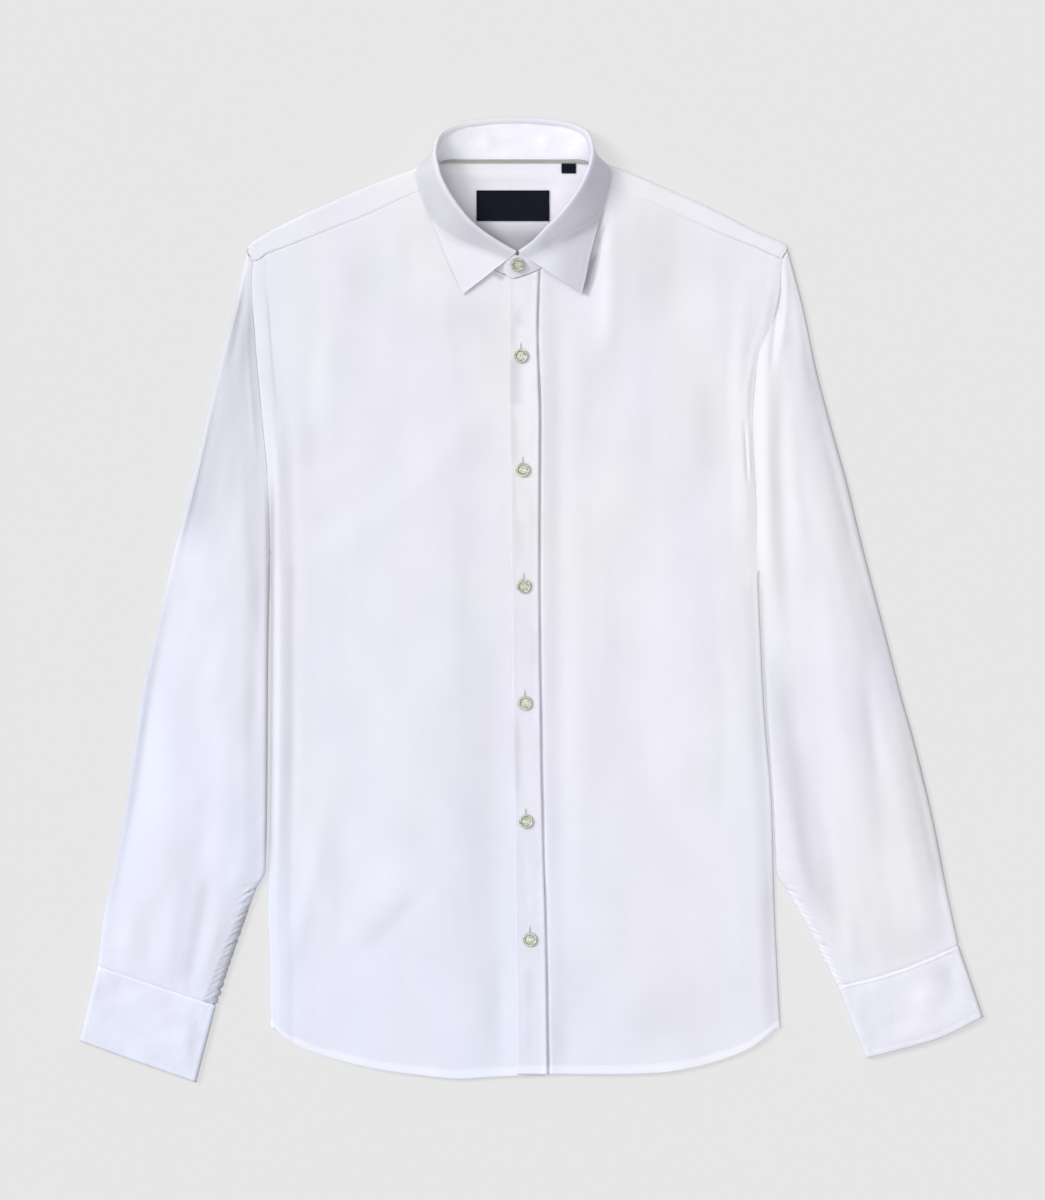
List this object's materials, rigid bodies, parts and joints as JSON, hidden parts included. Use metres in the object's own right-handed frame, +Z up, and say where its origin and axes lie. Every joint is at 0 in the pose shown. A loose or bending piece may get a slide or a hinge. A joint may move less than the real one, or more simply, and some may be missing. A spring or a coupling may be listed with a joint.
{
  "type": "casual shirt",
  "caption": "Long-sleeved button-front cotton shirt with a turned-down collar and barrel cuffs, laid flat on its back with its sleeves beside the body.",
  "frame": {"origin": "centre of the bounding box on the surface that the shirt lies on", "axes": "+Y from hem to collar, +X towards the wearer's left sleeve, +Z up from the surface, away from the shirt's back"},
  "size_m": [0.75, 0.8008, 0.0353],
  "materials": {
    "cotton": "fine plain-woven white cotton, matt with a slight sheen",
    "tape": "grey-green herringbone tape, matt",
    "label": "dark navy woven label, matt and bare",
    "button": "pearly grey-green, glossy"
  },
  "bodies": {
    "root": {"back": "cotton", "yoke": "cotton", "front_right": "cotton", "front_left": "cotton", "placket": "cotton", "collar_stand": "cotton", "collar_leaf": "cotton", "neck_tape": "tape", "neck_label": "label", "size_tab": "label", "sleeve_right": "cotton", "cuff_right": "cotton", "cuff_button_right": "button", "sleeve_left": "cotton", "cuff_left": "cotton", "cuff_button_left": "button", "button_collar": "button", "button_1": "button", "button_2": "button", "button_3": "button", "button_4": "button", "button_5": "button", "button_6": "button"}
  },
  "joints": []
}
